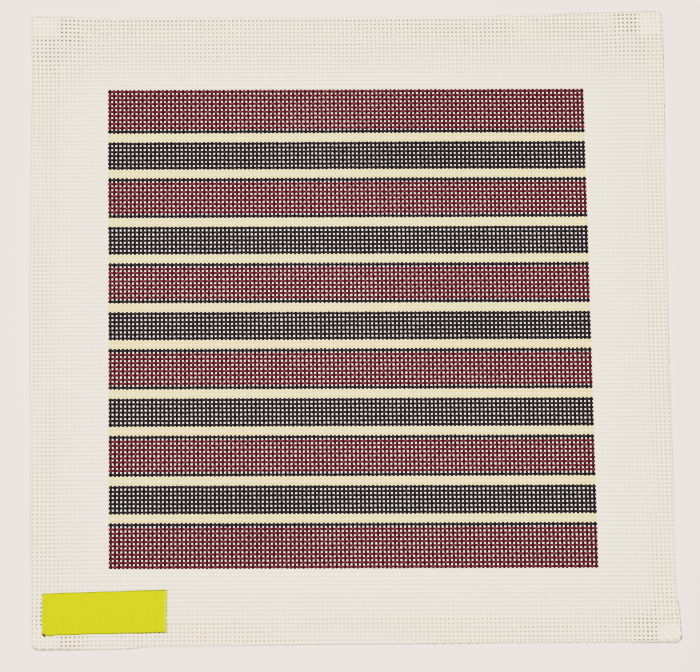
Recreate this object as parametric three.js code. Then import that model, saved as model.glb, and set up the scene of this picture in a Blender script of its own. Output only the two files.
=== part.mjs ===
// A square of stiff open canvas for needlepoint, lying face up, with its raw edges folded under
// on all four sides and a small woven label sewn on near its lower left corner.
// Millimetres. X runs to the right, Y towards the top edge, Z up from the table.

import * as THREE from 'three';

// Cloth
const CLOTH_THICK = 0.9; // two threads deep where they cross
const LAYER_GAP = 0.2; // air between folded layers
const HEM_DEPTH = 11; // from the outer edge to the raw edge beneath
const HALF_SPAN = 151; // from the middle to an outer edge, before its wander
const LEAN = 0.0133; // how far the upright threads lean to the left as they go up
const BLOCK_SHIFT_X = -0.1; // the middle of the painted block, in the part's frame
const BLOCK_SHIFT_Y = -0.6;

// How the cloth comes down from its hems to the table
const HEM_REACH = HEM_DEPTH + 4; // every hem's layers end inside this distance from HALF_SPAN
const SLOPE_RUN = 34; // the slope from the hem down to the table
const CORNER_POWER = 3; // a corner's own two layers come down this much sooner

// Label
const LABEL_LENGTH = 57.7;
const LABEL_WIDTH = 19.2;
const LABEL_THICK = 1.0;
const LABEL_GAP = 0.3;
const LABEL_TURN = THREE.MathUtils.degToRad(1.4);
const LABEL_MIDDLE = { x: -114.9, y: -134.0 };

// The four outer edges wander a little: `at` runs along the edge, `out` is the edge's distance
// from the middle of the painted block.
const LEFT_EDGE = [
  { at: -152, out: 150.3 },
  { at: -127, out: 150.7 },
  { at: -90, out: 151.3 },
  { at: 13, out: 151.9 },
  { at: 78, out: 151.6 },
  { at: 130, out: 150.8 },
  { at: 153, out: 150.7 },
];
const RIGHT_EDGE = [
  { at: -152, out: 151.0 },
  { at: -140, out: 150.6 },
  { at: -119, out: 149.5 },
  { at: -82, out: 150.0 },
  { at: -11, out: 150.2 },
  { at: 48, out: 151.2 },
  { at: 119, out: 152.4 },
  { at: 153, out: 151.7 },
];
const TOP_EDGE = [
  { at: -152, out: 150.1 },
  { at: -121, out: 149.8 },
  { at: -24, out: 149.5 },
  { at: 72, out: 150.1 },
  { at: 111, out: 151.1 },
  { at: 152, out: 151.7 },
];
const BOTTOM_EDGE = [
  { at: -152, out: 150.4 },
  { at: -114, out: 150.5 },
  { at: -90, out: 149.1 },
  { at: -1, out: 148.4 },
  { at: 83, out: 147.8 },
  { at: 152, out: 147.7 },
];

// Plan radius of each corner
const CORNER_RADIUS = { topLeft: 1.2, topRight: 1.6, bottomLeft: 3.2, bottomRight: 3.0 };

// Low swells where the middle of the cloth stands off the table
const SWELLS = [
  { x: -50, y: -92, reachX: 72, reachY: 34, rise: 0.45 },
  { x: 38, y: 88, reachX: 62, reachY: 44, rise: 0.4 },
  { x: 54, y: 4, reachX: 52, reachY: 46, rise: 0.3 },
];

const LAYER_STEP = CLOTH_THICK + LAYER_GAP;
const HALF_CLOTH = CLOTH_THICK / 2;
const FOLD_STEPS = 4; // flats round half a turn of a fold

function smooth(t) {
  const c = THREE.MathUtils.clamp(t, 0, 1);
  return c * c * (3 - 2 * c);
}

// The edge's distance at one place along it, eased between the rows of its table.
function edgeAt(table, at) {
  const last = table.length - 1;
  const place = THREE.MathUtils.clamp(at, table[0].at, table[last].at);
  const next = Math.max(1, table.findIndex((row) => row.at >= place));
  const a = table[next - 1];
  const b = table[next];
  return a.out + (b.out - a.out) * smooth((place - a.at) / (b.at - a.at));
}

const sideEdge = (x, y) => edgeAt(x < 0 ? LEFT_EDGE : RIGHT_EDGE, y);
const endEdge = (x, y) => edgeAt(y < 0 ? BOTTOM_EDGE : TOP_EDGE, x);

// 1 over a hem, easing to 0 where the slope meets the table.
const heldUp = (place) => 1 - smooth((HALF_SPAN - HEM_REACH - Math.abs(place)) / SLOPE_RUN);

// Height of the upper layer's middle surface over the table: half a cloth where it lies flat,
// one layer more over a hem and three more over a corner.
function restHeight(x, y) {
  const overSide = heldUp(x);
  const overEnd = heldUp(y);
  const hem = 1 - (1 - overSide) * (1 - overEnd);
  const swell = SWELLS.reduce((sum, s) => {
    const far = Math.hypot((x - s.x) / s.reachX, (y - s.y) / s.reachY);
    return sum + s.rise * smooth(1 - far);
  }, 0);
  const corner = (overSide * overEnd) ** CORNER_POWER;
  return HALF_CLOTH + LAYER_STEP * (hem + 2 * corner) + swell * (1 - hem);
}

// Folds cloth under at a crease. `depth` is measured down through the cloth from the middle
// surface of its upper layer. Past the crease the cloth turns through half a circle, then
// runs back the way it came.
function turnUnder(distance, crease, radius, depth) {
  const beyond = distance - crease;
  if (beyond <= 0) return { distance, depth };
  const angle = Math.min(beyond / radius, Math.PI);
  const back = Math.max(beyond - Math.PI * radius, 0);
  return {
    distance: crease + (radius - depth) * Math.sin(angle) - back,
    depth: radius - (radius - depth) * Math.cos(angle),
  };
}

const sideFoldRadius = LAYER_STEP / 2;
// An end folds over two layers where it crosses a side hem, and over one between them.
const endFoldRadius = (x) => (LAYER_STEP / 2) * (1 + 2 * heldUp(x) ** CORNER_POWER);
const sideCrease = (u, v) => sideEdge(u, v) - sideFoldRadius - HALF_CLOTH;
const endCrease = (x, v) => endEdge(x, v) - endFoldRadius(x) - HALF_CLOTH;

function cornerRadius(x, y) {
  if (y < 0) return x < 0 ? CORNER_RADIUS.bottomLeft : CORNER_RADIUS.bottomRight;
  return x < 0 ? CORNER_RADIUS.topLeft : CORNER_RADIUS.topRight;
}

// Draws the square corner in to a quarter circle, in plan.
function roundCorner(x, y) {
  const radius = cornerRadius(x, y);
  const centreX = sideEdge(x, y) - radius;
  const centreY = endEdge(x, y) - radius;
  const outX = Math.abs(x) - centreX;
  const outY = Math.abs(y) - centreY;
  if (outX <= 0 || outY <= 0) return { x, y };
  const draw = Math.max(outX, outY) / Math.hypot(outX, outY);
  return {
    x: Math.sign(x) * (centreX + outX * draw),
    y: Math.sign(y) * (centreY + outY * draw),
  };
}

// Leans the plan and sets it in the part's frame.
const inFrame = (x, y, z) => [x - LEAN * y + BLOCK_SHIFT_X, y + BLOCK_SHIFT_Y, z];

// Where a point of the flat cloth lies once the hems are folded: u and v along the threads from
// the middle, depth down through the cloth.
function folded(u, v, depth) {
  const side = turnUnder(Math.abs(u), sideCrease(u, v), sideFoldRadius, depth);
  const foldedX = Math.sign(u) * side.distance;
  const end = turnUnder(Math.abs(v), endCrease(foldedX, v), endFoldRadius(foldedX), side.depth);
  const foldedY = Math.sign(v) * end.distance;
  const plan = roundCorner(foldedX, foldedY);
  return inFrame(plan.x, plan.y, restHeight(foldedX, foldedY) - end.depth);
}

// The grid that the cloth's faces are drawn on
const FACE_LINES = [1.5, 3, 7.5, 12]; // inwards of a crease, over the hem
const SLOPE_STEPS = 6;
const MIDDLE_STEPS = 8;

// count + 1 values from one end to the other.
const evenSteps = (from, to, count) =>
  Array.from({ length: count + 1 }, (_, i) => from + ((to - from) * i) / count);

// How far past a crease the grid lines of a hem run, from the raw edge back to the crease.
function hemLines(radius) {
  const turned = Math.PI * radius;
  const run = HEM_DEPTH - radius - HALF_CLOTH;
  return [turned + run, turned + run / 2, ...evenSteps(turned, 0, FOLD_STEPS)];
}

// Places of the grid lines on the flat cloth, from one raw edge to the other. `creaseAt` gives
// the distance of the crease on the side of a sign, and `radius` is the radius of its fold.
function gridLines(creaseAt, radius) {
  const slopeTop = HALF_SPAN - HEM_REACH;
  const slopeFoot = slopeTop - SLOPE_RUN;
  const half = (sign) => [
    ...hemLines(radius).map((past) => sign * (creaseAt(sign) + past)),
    ...FACE_LINES.map((inwards) => sign * (creaseAt(sign) - inwards)),
    ...evenSteps(slopeTop, slopeFoot, SLOPE_STEPS).map((place) => sign * place),
  ];
  const middle = evenSteps(-slopeFoot, slopeFoot, MIDDLE_STEPS).slice(1, -1);
  return [...half(-1), ...middle, ...half(1).reverse()];
}

// A closed slab on a grid: place(i, j, side) gives a point, with side 1 for the upper face and
// 0 for the lower.
function slab(columns, rows, place) {
  const positions = [];
  const index = [];
  const vertex = (i, j, side) => (side * rows + j) * columns + i;
  for (const side of [0, 1]) {
    for (let j = 0; j < rows; j += 1) {
      for (let i = 0; i < columns; i += 1) positions.push(...place(i, j, side));
    }
  }
  for (let j = 0; j < rows - 1; j += 1) {
    for (let i = 0; i < columns - 1; i += 1) {
      for (const side of [0, 1]) {
        const a = vertex(i, j, side);
        const b = vertex(i + 1, j, side);
        const c = vertex(i + 1, j + 1, side);
        const d = vertex(i, j + 1, side);
        if (side) index.push(a, b, c, a, c, d);
        else index.push(a, c, b, a, d, c);
      }
    }
  }
  const wall = (i0, j0, i1, j1) => {
    const a = vertex(i0, j0, 0);
    const b = vertex(i1, j1, 0);
    const c = vertex(i1, j1, 1);
    const d = vertex(i0, j0, 1);
    index.push(a, b, c, a, c, d);
  };
  for (let i = 0; i < columns - 1; i += 1) {
    wall(i, 0, i + 1, 0);
    wall(i + 1, rows - 1, i, rows - 1);
  }
  for (let j = 0; j < rows - 1; j += 1) {
    wall(columns - 1, j, columns - 1, j + 1);
    wall(0, j + 1, 0, j);
  }
  const geometry = new THREE.BufferGeometry();
  geometry.setAttribute('position', new THREE.Float32BufferAttribute(positions, 3));
  geometry.setIndex(index);
  geometry.computeVertexNormals();
  return geometry;
}

function canvasCloth() {
  const straightCrease = HALF_SPAN - sideFoldRadius - HALF_CLOTH;
  const roughColumns = gridLines(() => straightCrease, sideFoldRadius);
  const rowsOf = roughColumns.map((u) => {
    const x = THREE.MathUtils.clamp(u, -HALF_SPAN, HALF_SPAN);
    return gridLines((sign) => endCrease(x, sign), endFoldRadius(x));
  });
  const geometry = slab(roughColumns.length, rowsOf[0].length, (i, j, side) => {
    const v = rowsOf[i][j];
    const u = gridLines((sign) => sideCrease(sign, v), sideFoldRadius)[i];
    return folded(u, v, side ? -HALF_CLOTH : HALF_CLOTH);
  });
  const material = new THREE.MeshStandardMaterial({ color: '#e8e4d9', roughness: 0.9, metalness: 0 });
  const mesh = new THREE.Mesh(geometry, material);
  mesh.name = 'canvas';
  return mesh;
}

// The label lies on the upper face of the canvas and follows it.
function wovenLabel() {
  const columns = 15;
  const rows = 6;
  const geometry = slab(columns, rows, (i, j, side) => {
    const along = LABEL_LENGTH * (i / (columns - 1) - 0.5);
    const across = LABEL_WIDTH * (j / (rows - 1) - 0.5);
    const x = LABEL_MIDDLE.x + along * Math.cos(LABEL_TURN) - across * Math.sin(LABEL_TURN);
    const y = LABEL_MIDDLE.y + along * Math.sin(LABEL_TURN) + across * Math.cos(LABEL_TURN);
    const blockY = y - BLOCK_SHIFT_Y;
    const blockX = x - BLOCK_SHIFT_X + LEAN * blockY;
    const base = restHeight(blockX, blockY) + HALF_CLOTH + LABEL_GAP;
    return [x, y, base + side * LABEL_THICK];
  });
  const material = new THREE.MeshStandardMaterial({ color: '#dad720', roughness: 0.7, metalness: 0 });
  const mesh = new THREE.Mesh(geometry, material);
  mesh.name = 'label';
  return mesh;
}

const panel = new THREE.Group();
panel.add(canvasCloth(), wovenLabel());

export default panel;
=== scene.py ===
import math

import bpy
import numpy as np
from mathutils import Matrix, Vector


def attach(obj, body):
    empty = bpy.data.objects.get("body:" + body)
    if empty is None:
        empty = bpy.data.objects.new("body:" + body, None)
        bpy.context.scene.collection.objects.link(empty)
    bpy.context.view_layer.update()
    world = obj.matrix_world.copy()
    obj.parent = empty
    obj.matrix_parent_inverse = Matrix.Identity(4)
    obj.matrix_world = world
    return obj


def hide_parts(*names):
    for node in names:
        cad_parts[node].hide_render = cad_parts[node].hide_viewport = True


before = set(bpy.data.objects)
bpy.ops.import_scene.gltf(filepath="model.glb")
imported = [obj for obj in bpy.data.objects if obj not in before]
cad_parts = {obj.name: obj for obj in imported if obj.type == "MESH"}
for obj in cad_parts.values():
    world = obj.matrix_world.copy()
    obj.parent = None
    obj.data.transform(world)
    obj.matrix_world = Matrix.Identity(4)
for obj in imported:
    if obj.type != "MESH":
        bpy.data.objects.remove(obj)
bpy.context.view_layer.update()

# Lengths are in millimetres until a mesh is made; Blender gets metres.
mm = 0.001
dice = np.random.default_rng(13)  # seeded, so that every run draws the same threads


# The cloth as it is cut, woven and folded
cloth = {
    "pitch": 25.4 / 13,        # 13 threads to the inch
    "painted": 117,            # painted threads each way
    "uprights": (-83, 82),     # first and last thread cut, counted from the painted middle
    "crosses": (-82, 82),
    "threadWide": 0.94,
    "threadDeep": 0.42,
    "waveRise": 0.215,         # how far a thread rises over the one it crosses
    "waveSharp": 1.8,          # above 1 the wave has flat tops
    "crestReach": 0.27,        # half the flat top, in pitches
    "wander": 0.045,           # how far a thread strays from its own line
    "driftLengths": (9.0, 23.0, 61.0),  # waves in which threads stray and change in width
    "driftPeak": 1.7,          # what the sum of these waves seldom passes
    "widthVaries": 0.05,       # share of the width
    "crestWider": 0.04,        # threads are wider by this share at a crossing
    "filled": 0.035,           # painted threads are wider by this share
    "trimmed": 0.2,            # the least that a cut end sticks out past the last crossing
    "frayed": 0.9,             # and the most
    "thick": 0.9,              # what one layer takes up
    "layerGap": 0.02,
    "halfSpan": 151,           # about half the width of the folded cloth
    "hemReach": 15,            # the hems hold the cloth up this far in from halfSpan
    "slopeRun": 34,            # length of the slope from there down to the table
    "cornerPower": 7,          # the higher it is, the sooner a corner's own layers come down
    "curl": 1.7,               # the stiff cloth's top edge curls up this far
    "curlRun": 44,             # from this far below the edge
    "hem": 11.5,               # width of the hems
    "pressRun": 2,             # a corner's pressing comes in over this length
    "lean": 0.0133,            # the upright threads lean left as they go up
    "shiftX": -0.1,            # the cloth's middle, in the part's frame
    "shiftY": -0.6,
    "latticeX": -0.50,         # the middle thread of the painted block, from the cloth's middle
    "latticeY": 0.43,
    "sideSpread": 0.4,         # threads bulge out this far where they turn at a fold
    "endSpread": 0.6,
    "loose": 0.06,             # how much wider apart the turned-under threads lie
}

# How much more cloth than half a circle goes round each fold. It sets where the threads turned
# under lie against those above, in line or between them.
crowded = {"left": 0.49, "right": 0.20, "top": -0.43, "bottom": 0.59}

# Each outer edge as (place along it, distance from the cloth's middle)
edges = {
    "left": [(-152, 150.3), (-127, 150.7), (-90, 151.3), (13, 151.9), (78, 151.6),
             (130, 150.8), (153, 150.7)],
    "right": [(-152, 151.0), (-140, 150.6), (-119, 149.5), (-82, 150.0), (-11, 150.2),
              (48, 151.2), (119, 152.4), (153, 151.7)],
    "top": [(-152, 149.9), (-121, 149.7), (-24, 149.6), (60, 149.8), (111, 151.1),
            (152, 151.6)],
    "bottom": [(-152, 150.4), (-114, 150.5), (-90, 149.1), (-1, 148.4), (83, 147.8),
               (152, 147.7)],
}

# The radius of each corner, seen from above
cornerRadii = {"left": {"top": 1.2, "bottom": 3.2}, "right": {"top": 1.6, "bottom": 3.0}}

# The corners are glued and pressed, and their threads are wider by these shares
cornerPress = {"left": {"top": 0.5, "bottom": 0.4}, "right": {"top": 0.45, "bottom": 1.02}}

# Low swells of the middle of the cloth: x, y, reach along x and y, rise
swells = [(-50, -92, 72, 34, 0.45), (38, 88, 62, 44, 0.4), (54, 4, 52, 46, 0.3)]

layerStep = cloth["thick"] + cloth["layerGap"]
halfCloth = cloth["thick"] / 2


# 0 before 0, 1 after 1, and 3t^2 - 2t^3 between
def smooth(t):
    t = np.clip(t, 0, 1)
    return t * t * (3 - 2 * t)


# Eased from row to row of an edge's table
def edgeAt(name, place):
    at, out = np.array(edges[name], float).T
    place = np.clip(place, at[0], at[-1])
    row = np.clip(np.searchsorted(at, place), 1, len(at) - 1)
    t = smooth((place - at[row - 1]) / (at[row] - at[row - 1]))
    return out[row - 1] + (out[row] - out[row - 1]) * t


# How far the nearer side, or the nearer end, is from the middle: its table's value plus the
# bulge of the turned threads
def sideEdge(x, y):
    return np.where(x < 0, edgeAt("left", y), edgeAt("right", y)) + cloth["sideSpread"]


def endEdge(x, y):
    return np.where(y < 0, edgeAt("bottom", x), edgeAt("top", x)) + cloth["endSpread"]


# 1 over a hem, eased to 0 down the slope
def heldUp(place):
    return 1 - smooth((cloth["halfSpan"] - cloth["hemReach"] - abs(place)) / cloth["slopeRun"])


# Height of the upper layer's middle: half a cloth where it lies flat, one layer more over a
# hem, three more over a corner, the swells between the hems, and the curl of the top edge
def restHeight(x, y):
    overSide, overEnd = heldUp(x), heldUp(y)
    hem = 1 - (1 - overSide) * (1 - overEnd)
    swell = sum(
        rise * smooth(1 - np.hypot((x - atX) / reachX, (y - atY) / reachY))
        for atX, atY, reachX, reachY, rise in swells
    )
    corner = (overSide * overEnd) ** cloth["cornerPower"]
    curl = cloth["curl"] * smooth((y - cloth["halfSpan"]) / cloth["curlRun"] + 1)
    return halfCloth + layerStep * (hem + 2 * corner) + swell * (1 - hem) + curl


# Cloth folded under at a crease: up to the crease it goes straight on, then round half a circle
# of the radius, less its own depth, then back. Returns distance, depth and the length run back.
def turnUnder(distance, crease, radius, depth, crowd):
    beyond = distance - crease
    bend = math.pi * radius + crowd
    angle = np.clip(beyond / bend, 0, 1) * math.pi
    back = np.maximum(beyond - bend, 0) * (1 + cloth["loose"])
    ahead = np.minimum(beyond, 0)
    turned = crease + ahead + (radius - depth) * np.sin(angle) - back
    return turned, radius - (radius - depth) * np.cos(angle), back


sideRadius = layerStep / 2


# The cloth that a fold takes beyond half a circle, at the nearer side or end
def sideCrowd(x):
    return np.where(x < 0, crowded["left"], crowded["right"])


def endCrowd(y):
    return np.where(y < 0, crowded["bottom"], crowded["top"])


# An end folds over two layers at a side hem and over one between them
def endRadius(x):
    return layerStep / 2 * (1 + 2 * heldUp(x) ** cloth["cornerPower"])


# A fold begins its radius and half a cloth inside the outer edge
def sideCrease(x, y):
    return sideEdge(x, y) - sideRadius - halfCloth


def endCrease(x, y):
    return endEdge(x, y) - endRadius(x) - halfCloth


# The value of the nearest corner
def byCorner(table, x, y):
    left = np.where(y < 0, table["left"]["bottom"], table["left"]["top"])
    right = np.where(y < 0, table["right"]["bottom"], table["right"]["top"])
    return np.where(x < 0, left, right)


# In plan, the square corner is drawn in to a quarter circle
def roundCorner(x, y):
    radius = byCorner(cornerRadii, x, y)
    centreX, centreY = sideEdge(x, y) - radius, endEdge(x, y) - radius
    outX = np.maximum(abs(x) - centreX, 0)
    outY = np.maximum(abs(y) - centreY, 0)
    inCorner = (outX > 0) & (outY > 0)
    draw = np.where(inCorner, np.maximum(outX, outY) / np.maximum(np.hypot(outX, outY), 1e-9), 1)
    newX = np.sign(x) * np.where(inCorner, centreX + outX * draw, abs(x))
    newY = np.sign(y) * np.where(inCorner, centreY + outY * draw, abs(y))
    return newX, newY


# A point of the flat cloth, u and v along the threads and depth down through it, once the hems
# are folded: the sides turn under first, then the ends. What runs back past a crease that isn't
# straight swings by twice the crease's slope, as a reflection does.
def foldedCloth(u, v, depth):
    step = 0.5  # half the length over which a slope is taken
    slope = sideCrease(u, v + step) - sideCrease(u, v - step)
    x, depth, back = turnUnder(abs(u), sideCrease(u, v), sideRadius, depth, sideCrowd(u))
    x, y = x * np.sign(u), v + 2 * slope * back
    slope = endCrease(x + step, y) - endCrease(x - step, y)
    newY, depth, back = turnUnder(abs(y), endCrease(x, y), endRadius(x), depth, endCrowd(y))
    y = newY * np.sign(y)
    height = restHeight(x, y) - depth
    x, y = roundCorner(x + 2 * slope * back, y)
    return np.stack(
        [x - cloth["lean"] * y + cloth["shiftX"], y + cloth["shiftY"], height], axis=-1
    )


# A mesh of quads from points in millimetres. Corner maps are arrays of (quads, 4, 2).
def quadPiece(name, points, quads, maps, finish):
    mesh = bpy.data.meshes.new(name)
    mesh.vertices.add(len(points))
    mesh.vertices.foreach_set("co", (points * mm).astype(np.float32).ravel())
    mesh.loops.add(quads.size)
    mesh.loops.foreach_set("vertex_index", quads.astype(np.int32).ravel())
    mesh.polygons.add(len(quads))
    mesh.polygons.foreach_set("loop_start", np.arange(0, quads.size, 4, dtype=np.int32))
    mesh.polygons.foreach_set("use_smooth", np.ones(len(quads), bool))
    for mapName, corners in maps.items():
        layer = mesh.uv_layers.new(name=mapName)
        layer.uv.foreach_set("vector", corners.astype(np.float32).ravel())
    mesh.update(calc_edges=True)
    mesh.materials.append(finish)
    piece = bpy.data.objects.new(name, mesh)
    bpy.context.scene.collection.objects.link(piece)
    return piece


# Quads of tubes: tubes x rings x sides points. The lids are for sections of four sides.
def tubeQuads(tubes, rings, sides):
    index = np.arange(tubes * rings * sides).reshape(tubes, rings, sides)
    after = np.roll(index, -1, axis=2)
    walls = np.stack([index[:, :-1], after[:, :-1], after[:, 1:], index[:, 1:]], axis=-1)
    lids = np.concatenate([index[:, 0, ::-1], index[:, -1]])
    return walls.reshape(-1, 4), lids


class Signal:
    # One socket of a material. Arithmetic on it adds Math nodes.
    def __init__(self, finish, socket):
        self.finish, self.socket = finish, socket

    def __add__(self, other):
        return self.finish.math("ADD", self, other)

    def __radd__(self, other):
        return self.finish.math("ADD", other, self)

    def __sub__(self, other):
        return self.finish.math("SUBTRACT", self, other)

    def __rsub__(self, other):
        return self.finish.math("SUBTRACT", other, self)

    def __mul__(self, other):
        return self.finish.math("MULTIPLY", self, other)

    def __rmul__(self, other):
        return self.finish.math("MULTIPLY", other, self)

    def __truediv__(self, other):
        return self.finish.math("DIVIDE", self, other)

    def __lt__(self, other):
        return self.finish.math("LESS_THAN", self, other)

    def __gt__(self, other):
        return self.finish.math("GREATER_THAN", self, other)

    def __abs__(self):
        return self.finish.math("ABSOLUTE", self)


class Finish:
    # A material with one Principled shader
    def __init__(self, name, **fixed):
        self.material = bpy.data.materials.new(name)
        self.material.use_nodes = True
        self.tree = self.material.node_tree
        self.shader = self.tree.nodes["Principled BSDF"]
        for socket, value in fixed.items():
            self.shader.inputs[socket].default_value = value

    # Adds a node: its settings first, then the values or links of its sockets
    def node(self, kind, settings, sockets, output=0):
        added = self.tree.nodes.new("ShaderNode" + kind)
        for key, value in settings.items():
            if key == "stops":
                self.setStops(added.color_ramp, value)
            else:
                setattr(added, key, value)
        for key, value in sockets.items():
            self.feed(added.inputs[key], value)
        return Signal(self, added.outputs[output])

    def setStops(self, ramp, stops):
        while len(ramp.elements) < len(stops):
            ramp.elements.new(1)
        for element, (place, colour) in zip(ramp.elements, stops):
            element.position, element.color = place, (*colour, 1)

    # Gives a socket a link, a colour of three numbers or a plain value
    def feed(self, socket, value):
        if isinstance(value, Signal):
            self.tree.links.new(value.socket, socket)
        elif isinstance(value, tuple) and len(value) == 3 and len(socket.default_value) == 4:
            socket.default_value = (*value, 1)
        else:
            socket.default_value = value

    def math(self, operation, *values):
        return self.node("Math", {"operation": operation}, dict(enumerate(values)))

    def mix(self, share, first, second):
        return self.node("Mix", {"data_type": "RGBA"}, {0: share, 6: first, 7: second}, 2)

    def map(self, name):
        return self.node("UVMap", {"uv_map": name}, {})

    # The first two numbers of a vector or colour
    def parts(self, vector):
        first = self.node("SeparateXYZ", {}, {0: vector})
        return first, Signal(self, first.socket.node.outputs[1])

    def noise(self, vector, scale, detail=2.0, roughness=0.5):
        values = {"Vector": vector, "Scale": scale, "Detail": detail, "Roughness": roughness}
        return self.node("TexNoise", {}, values)

    def bump(self, height, distance, strength):
        values = {"Height": height, "Distance": distance, "Strength": strength}
        return self.node("Bump", {}, values)

    # Links values to the shader's sockets, with _ for a space in their names
    def wear(self, **linked):
        for socket, value in linked.items():
            self.feed(self.shader.inputs[socket.replace("_", " ")], value)
        return self.material


# Paint on the threads, by its place in the weave, and painted shade on the upright threads and in
# the hems
paint = {
    "bare": (0.93, 0.96, 0.82),
    "bareDeep": (0.91, 0.93, 0.76),
    "maroon": (0.207, 0.047, 0.071),
    "black": (0.052, 0.046, 0.053),
    "cream": (0.85, 0.77, 0.40),
    # painted shade in the hems: a brown that darkens the cloth turned under
    "turnedShade": (0.56, 0.48, 0.37),
    "turnedShadeShare": 0.57,         # painted shade on the faces that lie between two layers
    "foldShadeShare": 0.22,         # and a little painted shade on the folds
    "turnedShadeFrom": 0.1,           # it begins this far past a crease
    "turnedShadeRun": 0.6,            # and is full this much further on
    "underside": 0.745,        # where a thread's underside begins, as a share of the way round it
    "pressedLessShade": 1.6,        # how fast the painted shade between the layers fades as threads are pressed
    "uprightsShade": (0.40, 0.36, 0.25),  # painted shade: the upright threads are coloured darker than the cross threads
    "repeat": [("black", 1), ("maroon", 8), ("black", 1), ("cream", 2), ("black", 7), ("cream", 2)],
    "repeatStart": 22,         # threads from the top to a repeat's first row
    "edgeRows": 2,             # rows that the first and last stripes gain
    "strayed": 0.16,           # how far a painted edge strays, in threads
    "crestSwing": 0.36,        # dark paint is lighter where threads cross, and darker between
    "thinTint": (0.30, 0.12, 0.20),
    "thinShare": 0.2,          # how much of this tint thin paint takes
    "twist": 5.2,              # turn of the ply, in radians for each millimetre
    "rough": 0.86,
    "smoother": 0.24,          # painted threads are less rough by this much
}


# Colour by place in the weave: a thread's column and row say which stripe it is in
def paintedCanvas(name, upright):
    finish = Finish(name, **{"Metallic": 0.0, "Specular IOR Level": 0.15})
    # painted shade: the upright threads' copy of the paint is darker
    shade = paint["uprightsShade"] if upright else (1, 1, 1)
    grid = finish.map("weave")
    column, row = finish.parts(grid)
    half = cloth["painted"] / 2
    stray = (finish.noise(grid, scale=0.9) - 0.5) * (2 * paint["strayed"])
    inside = (abs(column + stray) < half) * (abs(row + stray) < half)

    # the repeat is a ramp with hard stops, read from the top down. The rows at the edges take the
    # colour of the first row within the margin, and the 2 keeps FRACT above 0.
    margin = paint["edgeRows"] + 0.1
    down = finish.math("MAXIMUM", half - row + stray, margin)
    down = finish.math("MINIMUM", down, cloth["painted"] - margin)
    total = sum(rows for _, rows in paint["repeat"])
    place, stops = 0, []
    for colour, rows in paint["repeat"]:
        # the painted shade of the upright threads darkens every colour but the cream
        taken = (1, 1, 1) if colour == "cream" else shade
        stops.append((place / total, tuple(t * c for t, c in zip(taken, paint[colour]))))
        place += rows
    share = finish.math("FRACT", (down - paint["repeatStart"]) / total + 2)
    stripes = finish.node("ValToRGB", {"stops": stops}, {0: share})
    stripes.socket.node.color_ramp.interpolation = "CONSTANT"

    # brush marks: thin and thick paint over a few threads, streaks along single ones
    ply = finish.map("ply")
    thin = finish.noise(grid, scale=0.35, detail=3.0)
    streak = finish.noise(ply, scale=0.8)
    tinted = finish.mix(paint["thinShare"], stripes, paint["thinTint"])
    worked = finish.mix((thin - 0.35) * 0.5, stripes, tinted)

    # dark paint, told by its low red, is lighter at each crossing and darker between: it follows
    # cos(2 pi * place) along a thread, with a crest at each crossing
    red, _ = finish.parts(stripes)
    crest = finish.math("COSINE", (row if upright else column) * (2 * math.pi))
    byCrest = 1 + crest * (red < 0.5) * paint["crestSwing"]
    worked = finish.node("VectorMath", {"operation": "SCALE"}, {0: worked, "Scale": byCrest})
    bare = finish.mix(streak, paint["bare"], paint["bareDeep"])
    colour = finish.mix(inside, bare, worked)

    # painted shade in the hems: past a crease, most of it on the quarter of a thread that was its
    # underside, and less of that in a pressed corner
    along, around = finish.parts(ply)
    beyond, pressed = finish.parts(finish.map("fold"))
    between = (around > paint["underside"]) * (1 - pressed * paint["pressedLessShade"])
    hemShade = finish.math("MAXIMUM", between, 0) * paint["turnedShadeShare"] + paint["foldShadeShare"]
    turned = finish.math("MINIMUM", (beyond - paint["turnedShadeFrom"]) / paint["turnedShadeRun"], 1)
    colour = finish.mix(hemShade * turned, colour, paint["turnedShade"])

    # the twist of the ply, and its fibres
    twist = finish.math("SINE", along * paint["twist"] + around * (4 * math.pi))
    fibre = finish.noise(ply, scale=9.0, detail=3.0)
    relief = finish.bump(twist * 0.5 + fibre, distance=0.00005, strength=0.35)
    rough = paint["rough"] - inside * paint["smoother"] + (thin - 0.5) * 0.12
    return finish.wear(Base_Color=colour, Roughness=rough, Normal=relief)


# Numbers of the threads that are cut, counted from the middle of the painted block
def threadNumbers(upright):
    first, last = cloth["uprights"] if upright else cloth["crosses"]
    return np.arange(first, last + 1.0)


# Where a thread's rings stand along it: at both ends of the flat top of every crossing, and at
# five places round each fold. The cut ends are uneven.
def ringPlaces(line, firstRing, upright):
    crossings = threadNumbers(not upright)[:, None]
    flatTop = cloth["crestReach"] * np.array([[-1, 1]])
    rings = ((crossings + flatTop) * cloth["pitch"]).ravel() + firstRing
    along = np.broadcast_to(rings, (len(line), len(rings))).copy()
    along[:, 0] -= dice.uniform(cloth["trimmed"], cloth["frayed"], len(line))
    along[:, -1] += dice.uniform(cloth["trimmed"], cloth["frayed"], len(line))
    turns = np.linspace(0, 1, 5)[None]
    for sign in (-1, 1):
        if upright:
            near = np.clip(line, -cloth["halfSpan"], cloth["halfSpan"])
            crease, radius = endCrease(near, np.full_like(near, sign)), endRadius(near)
            crowd = endCrowd(sign)
        else:
            crease, radius = sideCrease(np.full_like(line, sign), line), sideRadius
            crowd = sideCrowd(sign)
        bend = math.pi * radius + crowd
        along = np.concatenate([along, sign * (crease + bend * turns)], axis=1)
    return np.sort(along, axis=1)


# A slow change along each thread: the sum of three sine waves of random phase
def drift(along, size):
    phases = dice.uniform(0, 2 * math.pi, (3, len(along), 1))
    lengths = np.array(cloth["driftLengths"])[:, None, None]
    waves = np.sin(along[None] * 2 * math.pi / lengths + phases)
    return size * waves.sum(0) / cloth["driftPeak"]


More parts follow.
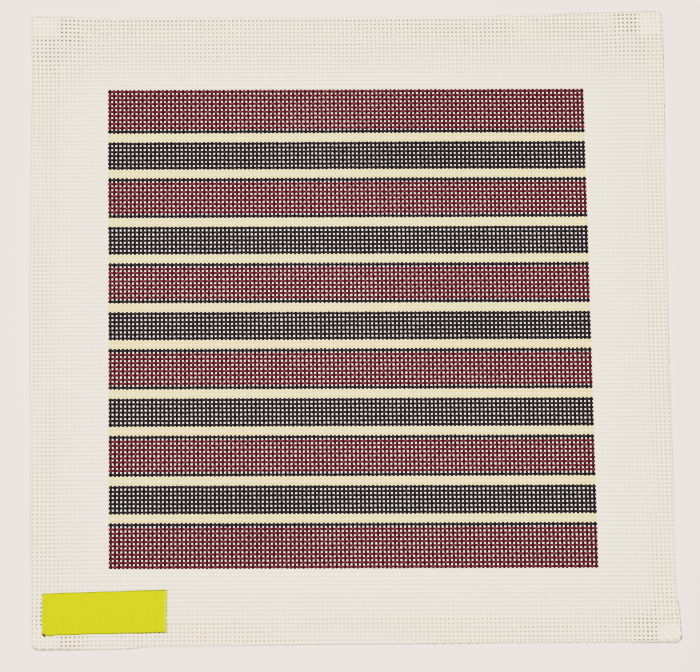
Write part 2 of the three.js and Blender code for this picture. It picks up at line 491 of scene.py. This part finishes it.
# The share by which a corner's threads are wider: the corner's own, eased in from the inner edges
# of both its hems
def cornerPressed(flatX, flatY):
    inner, run = cloth["halfSpan"] - cloth["hem"], cloth["pressRun"]
    pressed = smooth((abs(flatX) - inner) / run) * smooth((abs(flatY) - inner) / run)
    return pressed * byCorner(cornerPress, flatX, flatY)


# Corner maps of a bundle: "OFBake" spreads it over the square from 0 to 1, "weave" has a point's
# column and row, "ply" its place along and round the thread, and "fold" how far it is past a
# crease and how much it is pressed
def threadMaps(u, v, along, fold, walls, lids):
    quads = np.concatenate([walls, lids])
    flat = np.stack([u.ravel(), v.ravel()], axis=-1)
    weave = (flat - [cloth["latticeX"], cloth["latticeY"]]) / cloth["pitch"]
    low, high = flat.min(0), flat.max(0)
    side = np.arange(len(walls)) % 4
    around = np.stack([side, side + 1, side + 1, side], axis=-1) / 4
    around = np.concatenate([around, np.zeros((len(lids), 4))])
    return {
        "OFBake": ((flat - low) / (high - low))[quads],
        "weave": weave[quads],
        "ply": np.stack([along.ravel()[quads], around], axis=-1),
        "fold": fold.reshape(-1, 2)[quads],
    }


# A bundle of parallel threads. Each thread is a tube of four sides swept along a flat-topped
# wave: rise times cos(pi * place) sharpened and cut off at 1, over at one crossing and under at
# the next.
def threadBundle(name, numbers, upright, finish):
    pitch = cloth["pitch"]
    firstLine, firstRing = cloth["latticeX"], cloth["latticeY"]
    if not upright:
        firstLine, firstRing = firstRing, firstLine
    line = numbers[:, None] * pitch + firstLine
    along = ringPlaces(line, firstRing, upright)

    place = (along - firstRing) / pitch + numbers[:, None]
    wave = np.clip(cloth["waveSharp"] * np.cos(math.pi * place), -1, 1)
    over = wave if upright else -wave
    stray = line + drift(along, cloth["wander"])
    stray = stray + dice.normal(0, cloth["wander"] / 2, (len(numbers), 1))
    uneven = drift(along, cloth["widthVaries"]) + cloth["crestWider"] * abs(wave)
    pressed = cornerPressed(line, along) if upright else cornerPressed(along, line)
    edge = cloth["painted"] / 2 * pitch
    inBlock = (abs(along - firstRing) < edge) & (abs(line - firstLine) < edge)
    wide = cloth["threadWide"] / 2 * (1 + uneven + pressed + cloth["filled"] * inBlock)

    # a flattened thread: four corners, shaded smooth
    sideways = np.array([-1.0, -1.0, 1.0, 1.0]) * (1 if upright else -1)
    upwards = np.array([-1.0, 1.0, 1.0, -1.0])
    across = stray[..., None] + wide[..., None] * sideways
    depth = -(cloth["waveRise"] * over[..., None] + cloth["threadDeep"] / 2 * upwards)
    lengthwise = np.broadcast_to(along[..., None], across.shape)
    u, v = (across, lengthwise) if upright else (lengthwise, across)
    points = foldedCloth(u, v, depth).reshape(-1, 3)

    beyond = np.maximum(abs(u) - sideCrease(u, v), abs(v) - endCrease(u, v))
    fold = np.stack([beyond, np.broadcast_to(pressed[..., None], beyond.shape)], axis=-1)
    walls, lids = tubeQuads(len(numbers), along.shape[1], 4)
    maps = threadMaps(u, v, lengthwise, fold, walls, lids)
    return quadPiece(name, points, np.concatenate([walls, lids]), maps, finish)


# Each set of threads is split into bundles. A bundle's cloth area is its threads' width times
# their length.
def weaveCanvas():
    for upright, names in (
        (True, ["uprightsLeft", "uprightsMiddle", "uprightsRight"]),
        (False, ["crossBottom", "crossMiddle", "crossTop"]),
    ):
        numbers, length = threadNumbers(upright), len(threadNumbers(not upright))
        # two copies of one paint; the upright threads' copy carries the painted shade
        finish = paintedCanvas("uprightThreads" if upright else "crossThreads", upright)
        for name, some in zip(names, np.array_split(numbers, len(names))):
            piece = threadBundle(name, some, upright, finish)
            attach(piece, "root")
            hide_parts("canvas")
            wide, long = len(some) * cloth["pitch"] * mm, length * cloth["pitch"] * mm
            threads = len(some) * cloth["threadWide"] * mm * long
        print("wove", len(numbers), "upright threads" if upright else "cross threads")


# The label: a strip of fine twill tape, its ends turned under and sewn down
label = {
    "length": 57.9,
    "width": 19.6,
    "middle": (-114.93, -134.43),
    "turn": 1.32,              # degrees
    "widens": 0.0032,          # half its width grows this much along it
    "slants": (0.0, 0.034),    # how much either end leans right, for its length
    "thick": 0.42,
    "lift": 0.05,              # under it, to the crests of the threads
    "endFold": 5.0,            # length turned under at either end
    "foldThick": 0.9,          # what it adds, as a share of the thickness
    "foldEase": 1.2,           # length of the step at its inner end
    "rimThick": 0.35,          # share of the height that is left at the rim
    "seamIn": 1.25,            # the left seam, from the end
    "groove": 0.30,            # depth to which a seam pulls the tape in
    "grooveWide": 0.5,
    "puff": 0.28,              # the tape is this much fuller between the seams
    "puffRun": 9,              # and gets so over this length
    "ripple": 0.05,
    "waver": 0.07,             # how far the outline strays
    "rounded": 0.5,            # how far the upper left corner is rounded
    "drawnUp": 0.75,           # how far the lower left corner is drawn up and in
    "drawnIn": 0.35,
    "pucker": 0.42,            # how far the cloth beside it bulges
    "colour": (0.57, 0.60, 0.024),
    "fleck": (0.59, 0.63, 0.08),
    "shade": (0.40, 0.43, 0.012),
    "pale": (0.60, 0.62, 0.19),
    "whipPale": (0.72, 0.73, 0.38),
    "dark": (0.05, 0.05, 0.006),
    "edgeDarkAndShadow": 0.5,           # share of the dark colour on the long edges: a darker selvage and painted shadow
    "holeShade": 0.6,           # and painted shade in the needle holes
    # the dark knot is partly a thread end and partly painted shadow under the drawn-up corner
    "knotDarkAndShadow": 0.9,
    "twill": 1.165,            # from one twill line to the next, along the tape
    "pick": 0.3,               # from one fine thread to the next, across it
    "stitch": 3.2,             # from one needle hole to the next
    "hole": 0.27,              # radius of a needle hole
    "threadThick": 0.28,
    "bow": 0.24,               # how far a stitch rises between its ends
    "sunk": 0.1,               # how deep its ends lie in the cloth
    # the knot's strands stand partly for painted shadow under the lower left corner
    "knotThick": 0.6,
    "knotLift": 0.35,
    "knotStrands": (0.0, 0.22, 0.44),   # how far each strand lies from the first
    "knotFrom": (0.1, 0.8),    # where the first begins and ends, from the lower left corner
    "knotTo": (1.7, -0.1),
    "whip": 1.6,               # from one whip stitch at the right to the next
    "whipIn": 1.15,            # they reach this far in
    "whipOut": 0.15,
    "selvageAndShadow": 0.42,           # width of the darker long edges, selvage and painted shadow
}


# Height of the canvas's upper face at a place in the part's frame
def canvasTop(x, y):
    blockY = y - cloth["shiftY"]
    blockX = x - cloth["shiftX"] + cloth["lean"] * blockY
    return restHeight(blockX, blockY) + halfCloth


# A place along and across the label, turned by its angle and moved to its middle
def onLabel(along, across):
    turn = math.radians(label["turn"])
    x = label["middle"][0] + along * math.cos(turn) - across * math.sin(turn)
    y = label["middle"][1] + along * math.sin(turn) + across * math.cos(turn)
    return x, y


# How high the tape's upper face stands over its lower one: the tape, twice where the ends are
# turned under, a low puff between the seams, ripples, and a groove at each seam
def tapeHeight(along, across):
    halfLength, halfWidth = label["length"] / 2, label["width"] / 2
    fromEnd = halfLength - abs(along)
    ease = label["foldEase"]
    fold = 1 - smooth((fromEnd - label["endFold"] + ease / 2) / ease)
    puff = label["puff"] * smooth(fromEnd / label["puffRun"]) * (1 - (across / halfWidth) ** 4)
    ripple = np.sin(along * 0.55 + 1.1) * np.sin(across * 0.5 + along * 0.12)
    groove = label["groove"] * np.exp(-((fromEnd - label["seamIn"]) / label["grooveWide"]) ** 2)
    pits = 0.5 + 0.5 * np.cos(2 * math.pi * across / label["stitch"])
    tape = label["thick"] * (1 + label["foldThick"] * fold)
    return tape + puff + label["ripple"] * ripple - groove * (0.5 + 0.5 * pits)


# The tape's outline, from -1 to 1 both ways: long edges that waver as sine waves, a rounded upper
# left corner, and a lower left one that is drawn in, with a little pucker of cloth beside it.
# Each of the three is a bell curve along the tape, eased in across it.
def tapeOutline(s, t):
    along, across = s * label["length"] / 2, t * label["width"] / 2
    edge = abs(t) ** 8
    slant = np.interp(s, [-1, 1], label["slants"])
    along = along + slant * across + label["waver"] * np.sin(t * 9 + 1) * abs(s) ** 30
    across = across * (1 + label["widens"] * along / (label["width"] / 2))
    across = across + label["waver"] * edge * np.sin(s * 11 + 2 * t)
    upperLeft = np.exp(-((s + 1) / 0.02) ** 2) * smooth((t - 0.8) / 0.2)
    lowerLeft = np.exp(-((s + 0.99) / 0.035) ** 2) * smooth((-t - 0.75) / 0.25)
    pucker = np.exp(-((s + 0.86) / 0.055) ** 2) * smooth((-t - 0.8) / 0.2)
    across = across - label["rounded"] * upperLeft + label["drawnUp"] * lowerLeft
    return along + label["drawnIn"] * lowerLeft, across - label["pucker"] * pucker


# Quads of a closed sheet: an upper and a lower face of columns x rows points, and a wall round
# the rim
def sheetQuads(columns, rows):
    lower, upper = np.arange(2 * columns * rows).reshape(2, columns, rows)

    def cells(face):
        return np.stack([face[:-1, :-1], face[1:, :-1], face[1:, 1:], face[:-1, 1:]], axis=-1)

    def rim(face):
        return np.concatenate([face[:-1, 0], face[-1, :-1], face[:0:-1, -1], face[0, :0:-1]])

    low, high = rim(lower), rim(upper)
    wall = np.stack([low, np.roll(low, -1), np.roll(high, -1), high], axis=-1)
    return np.concatenate([cells(upper).reshape(-1, 4), cells(lower).reshape(-1, 4)[:, ::-1], wall])


# The tape is a grid over its outline: the lower face lies on the canvas, and the upper one stands
# over it by the tape's height, less a quarter round in the last half millimetre before the rim
def wovenLabel():
    columns, rows = 150, 50
    s, t = np.meshgrid(np.linspace(-1, 1, columns), np.linspace(-1, 1, rows), indexing="ij")
    along, across = tapeOutline(s, t)
    x, y = onLabel(along, across)
    base = canvasTop(x, y) + label["lift"]
    rim = np.minimum(label["length"] * (1 - abs(s)), label["width"] * (1 - abs(t)))
    quarterRound = np.sqrt(1 - (1 - np.clip(rim, 0, 1)) ** 2)
    full = label["rimThick"] + (1 - label["rimThick"]) * quarterRound
    upper = base + tapeHeight(along, across) * full
    points = np.stack([np.stack([x, y, z], axis=-1) for z in (base, upper)]).reshape(-1, 3)
    quads = sheetQuads(columns, rows)
    flat = np.stack([s * label["length"] / 2, t * label["width"] / 2], axis=-1).reshape(-1, 2)
    tape = np.tile(flat, (2, 1))[quads]
    piece = quadPiece("wovenLabel", points, quads, {"tape": tape}, tapeFinish())
    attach(piece, "root")
    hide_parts("label")
    return piece


# Twill lines are sin(2 pi (along + across) / step), broken up by noise
def tapeFinish():
    finish = Finish("labelTape", **{"Metallic": 0.0, "Specular IOR Level": 0.25})
    tape = finish.map("tape")
    along, across = finish.parts(tape)
    halfLength, halfWidth = label["length"] / 2, label["width"] / 2
    twill = finish.math("SINE", (along + across) * (2 * math.pi / label["twill"]))
    mottled = finish.noise(tape, scale=0.9, detail=5.0, roughness=0.7)
    speckled = finish.noise(tape, scale=2.2, detail=3.0, roughness=0.6)
    uneven = (mottled - 0.5) * 2.2 + twill * (0.2 + 0.5 * speckled)
    colour = finish.mix(uneven + 0.4, label["colour"], label["shade"])
    flecks = finish.noise(tape, scale=3.0)
    colour = finish.mix((flecks - 0.45) * 2.5, colour, label["fleck"])

    # the ends are paler; the long edges darker, a darker selvage with painted shadow of the raised
    # rims;
    # and the needle holes of the left seam painted shade: one round hole to each step of the FRACT,
    # whose 20.5 keeps it above 0 and centres it
    ends = (abs(along) - halfLength) / (1.7 * label["whipIn"]) + 1
    colour = finish.mix(ends * (speckled * 2.2 - 0.6), colour, label["pale"])
    # a darker selvage and painted shadow along the long edges
    edges = abs(across) > halfWidth - label["selvageAndShadow"]
    colour = finish.mix(edges * label["edgeDarkAndShadow"], colour, label["dark"])
    stepped = finish.math("FRACT", across / label["stitch"] + 20.5) - 0.5
    fromHoleX = (along + halfLength - label["seamIn"]) / label["hole"]
    fromHoleY = stepped * (label["stitch"] / label["hole"])
    # painted shade in each needle hole
    shadedHoles = fromHoleX * fromHoleX + fromHoleY * fromHoleY < 1
    colour = finish.mix(shadedHoles * label["holeShade"], colour, label["dark"])

    picks = finish.math("SINE", across * (2 * math.pi / label["pick"]))
    relief = finish.bump(twill * 0.7 + picks * 0.3, distance=0.00006, strength=0.7)
    return finish.wear(Base_Color=colour, Roughness=0.62 + mottled * 0.14, Normal=relief)


# Places in a row across the label, centred
def spaced(step):
    count = int(label["width"] / step)
    return (np.arange(count) - (count - 1) / 2) * step


# Where each stitch starts and stops on the tape: running ones on the left seam, whip stitches out
# and back over the right end, and the strands of the dark knot that is caught under the lower
# left corner, partly a thread end and partly painted shadow under the drawn-up corner. Also the
# numbers of the first whip stitch and of the first strand.
def stitchEnds():
    halfLength, halfWidth = label["length"] / 2, label["width"] / 2
    seam, reach = -halfLength + label["seamIn"], label["stitch"] / 2 - label["hole"]
    starts = [(seam, place - reach) for place in spaced(label["stitch"])]
    stops = [(seam, place + reach) for place in spaced(label["stitch"])]
    firstWhip = len(starts)
    inner, outer = halfLength - label["whipIn"], halfLength + label["whipOut"]
    for place in spaced(label["whip"]):
        starts += [(inner, place - label["whip"] / 2), (outer, place)]
        stops += [(outer, place), (inner, place + label["whip"] / 2)]
    firstStrand = len(starts)
    # the strands lie closer at their far ends
    (fromX, fromY), (toX, toY) = label["knotFrom"], label["knotTo"]
    for nudge in label["knotStrands"]:
        starts.append((fromX + nudge - halfLength, fromY - nudge - halfWidth))
        stops.append((toX + nudge * 0.5 - halfLength, toY - nudge * 0.9 - halfWidth))
    return np.array(starts), np.array(stops), firstWhip, firstStrand


# Each stitch is a tube of six sides along a line that is bowed as half a sine wave, over the tape
# or the canvas, and its radius narrows to the ends as the square root of that wave
def sewnStitches():
    starts, stops, firstWhip, firstStrand = stitchEnds()
    rings, sides = 9, 6
    t = np.linspace(0, 1, rings)[None, :, None]
    line = starts[:, None] * (1 - t) + stops[:, None] * t
    along, across = line[..., 0], line[..., 1]
    bow = np.sin(math.pi * t[..., 0])
    x, y = onLabel(along, across)
    onTape = (abs(along) < label["length"] / 2) & (abs(across) < label["width"] / 2 - 0.6)
    knot = np.arange(len(starts)) >= firstStrand
    ground = tapeHeight(along, across) * onTape + label["knotLift"] * knot[:, None]
    z = canvasTop(x, y) + label["lift"] + ground - label["sunk"] + label["bow"] * bow
    centre = np.stack([x, y, z], axis=-1)
    forward = np.gradient(centre, axis=1)
    forward /= np.linalg.norm(forward, axis=-1, keepdims=True)
    side = np.cross(forward, [0.0, 0.0, 1.0])
    side /= np.linalg.norm(side, axis=-1, keepdims=True)
    up = np.cross(side, forward)
    angle = np.linspace(0, 2 * math.pi, sides, endpoint=False)[:, None]
    section = side[:, :, None] * np.cos(angle) + up[:, :, None] * np.sin(angle)
    thick = np.where(knot, label["knotThick"], label["threadThick"])[:, None, None]
    radius = thick / 2 * np.sqrt(np.clip(np.sin(math.pi * t), 0.04, 1))
    points = (centre[:, :, None] + radius[..., None] * section).reshape(-1, 3)

    # a lid of six sides is two quads, and the tube is turned the right side out
    walls, _ = tubeQuads(len(starts), rings, sides)
    index = np.arange(len(points)).reshape(len(starts), rings, sides)
    first, last = index[:, 0], index[:, -1]
    lids = [first[:, [3, 2, 1, 0]], first[:, [5, 4, 3, 0]], last[:, :4], last[:, [0, 3, 4, 5]]]
    quads = np.concatenate([walls, *lids])[:, ::-1]
    stitch = quads // (rings * sides)
    thread = np.stack([(stitch >= firstStrand) * 1.0, (stitch >= firstWhip) * 1.0], axis=-1)
    piece = quadPiece("labelStitches", points, quads, {"thread": thread}, threadFinish())
    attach(piece, "root")
    return piece


# The label's colour on the running stitches, a pale one on the whip stitches, a dark knot that is
# partly painted shadow
def threadFinish():
    finish = Finish("labelThread", **{"Metallic": 0.0, "Specular IOR Level": 0.25})
    dark, whipped = finish.parts(finish.map("thread"))
    fibres = finish.noise(finish.node("TexCoord", {}, {}, "Object"), scale=4000.0)
    colour = finish.mix(whipped * (1 - fibres * 0.5), label["colour"], label["whipPale"])
    # the dark knot: partly a thread end, partly painted shadow
    colour = finish.mix(dark * label["knotDarkAndShadow"], colour, label["dark"])
    relief = finish.bump(fibres, distance=0.00004, strength=0.5)
    return finish.wear(Base_Color=colour, Roughness=0.55 + fibres * 0.2, Normal=relief)


# The label lies on the canvas, and its stitches hold it
def sewLabel():
    tape = wovenLabel()
    stitches = sewnStitches()
    print("sewed the label on")


# A pale table top under soft light, with the main light above, a little left of the middle
studio = {
    "tableColour": (0.85, 0.85, 0.85),
    "tableDeeper": 0.97,       # in places, by this factor
    "tableSize": 6.0,          # metres, as all lengths here but the sensor's
    "keyAt": (-0.03, 0.05, 1.05),
    "keySize": 0.45,
    "keyPower": 9.65,          # watts
    "skyColour": (1, 0.99, 0.975, 1),
    "skyStrength": 0.14,
    # light in and light out
    "tone": [(0.02, 0.008), (0.07, 0.045), (0.15, 0.15), (0.3, 0.45), (0.5, 0.68), (0.7, 0.765)],
    "toneEnd": 0.85,           # light out where 1 comes in
    "whiteGain": (1.044, 0.981, 0.948),
    "focal": 1800 / 700,       # in widths of the picture
    "sensor": 36,              # millimetres
    "aim": (-0.00044, -0.00522, 0.0008),
    "distance": 0.85205,
    "elevation": 83.55,        # degrees
    "roll": 0.18,
}


def layTable():
    half = studio["tableSize"] / 2
    corners = [(-half, -half, 0), (half, -half, 0), (half, half, 0), (-half, half, 0)]
    mesh = bpy.data.meshes.new("floor")
    mesh.from_pydata(corners, [], [(0, 1, 2, 3)])
    finish = Finish("tableTop", Roughness=0.8)
    uneven = finish.noise(finish.node("TexCoord", {}, {}, "Object"), scale=3.0)
    deeper = tuple(studio["tableDeeper"] * part for part in studio["tableColour"])
    mesh.materials.append(finish.wear(Base_Color=finish.mix(uneven, studio["tableColour"], deeper)))
    floor = bpy.data.objects.new("floor", mesh)
    bpy.context.scene.collection.objects.link(floor)


def lightTable():
    lamp = bpy.data.lights.new("key", "AREA")
    lamp.size, lamp.energy = studio["keySize"], studio["keyPower"]
    key = bpy.data.objects.new("key", lamp)
    key.location = studio["keyAt"]
    key.rotation_euler = Vector(studio["keyAt"]).to_track_quat("Z", "Y").to_euler()
    bpy.context.scene.collection.objects.link(key)

    sky = bpy.data.worlds.new("sky")
    sky.use_nodes = True
    sky.node_tree.nodes["Background"].inputs[0].default_value = studio["skyColour"]
    sky.node_tree.nodes["Background"].inputs[1].default_value = studio["skyStrength"]
    bpy.context.scene.world = sky
    setTone(bpy.context.scene.view_settings)


# A camera's tone curve: deep darks, lights that level off, and a slightly warm white
def setTone(view):
    view.view_transform = "Standard"
    view.use_curve_mapping = True
    for channel, gain in zip(view.curve_mapping.curves, studio["whiteGain"]):
        channel.points[1].location = (1, studio["toneEnd"] * gain)
        for place, value in studio["tone"]:
            channel.points.new(place, value * gain)
    view.curve_mapping.update()


# The camera looks at the aim from the distance and elevation, a little rolled
def setCamera():
    tilt, roll = math.radians(studio["elevation"]), math.radians(studio["roll"])
    toEye = Vector((0, -math.cos(tilt), math.sin(tilt)))
    lens = bpy.data.cameras.new("camera")
    lens.sensor_width, lens.lens = studio["sensor"], studio["focal"] * studio["sensor"]
    lens.clip_start, lens.clip_end = 0.01, 50
    camera = bpy.data.objects.new("camera", lens)
    turned = toEye.to_track_quat("Z", "Y").to_matrix() @ Matrix.Rotation(-roll, 3, "Z")
    camera.matrix_world = turned.to_4x4()
    camera.location = Vector(studio["aim"]) + studio["distance"] * toEye
    bpy.context.scene.collection.objects.link(camera)
    bpy.context.scene.camera = camera


setCamera()
layTable()
lightTable()
print("set the camera, the table and the light")
weaveCanvas()
sewLabel()
